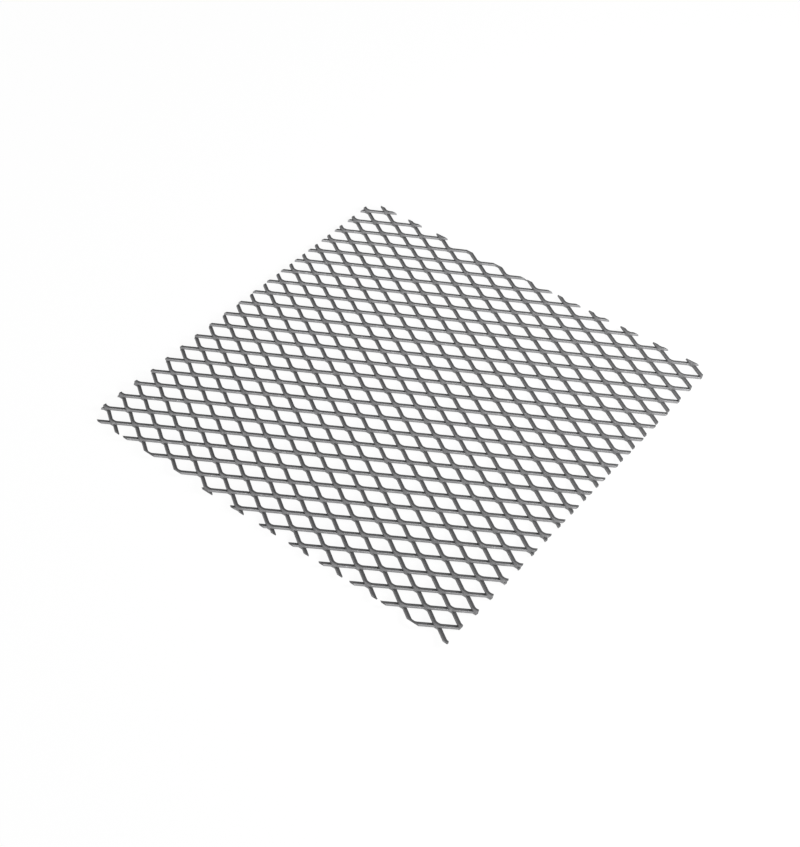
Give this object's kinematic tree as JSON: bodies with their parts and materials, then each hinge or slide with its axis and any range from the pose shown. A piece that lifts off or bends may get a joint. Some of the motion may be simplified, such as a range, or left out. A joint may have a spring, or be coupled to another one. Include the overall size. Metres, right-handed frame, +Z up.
{
  "type": "expanded metal sheet",
  "caption": "Square sheet of raised expanded steel: staggered wavy strands joined at short bonds around diamond openings, sheared on all edges, for guards, screens and shelves.",
  "frame": {"origin": "centre of the sheet on the plane that it lies on", "axes": "+X along the long way of the diamonds, +Y along the short way towards the back edge, +Z up through the thickness"},
  "size_m": [0.5, 0.5, 0.0055],
  "materials": {
    "steel": "bare mill finish, dull grey"
  },
  "bodies": {
    "root": {"front_strands": "steel", "back_strands": "steel"}
  },
  "joints": []
}
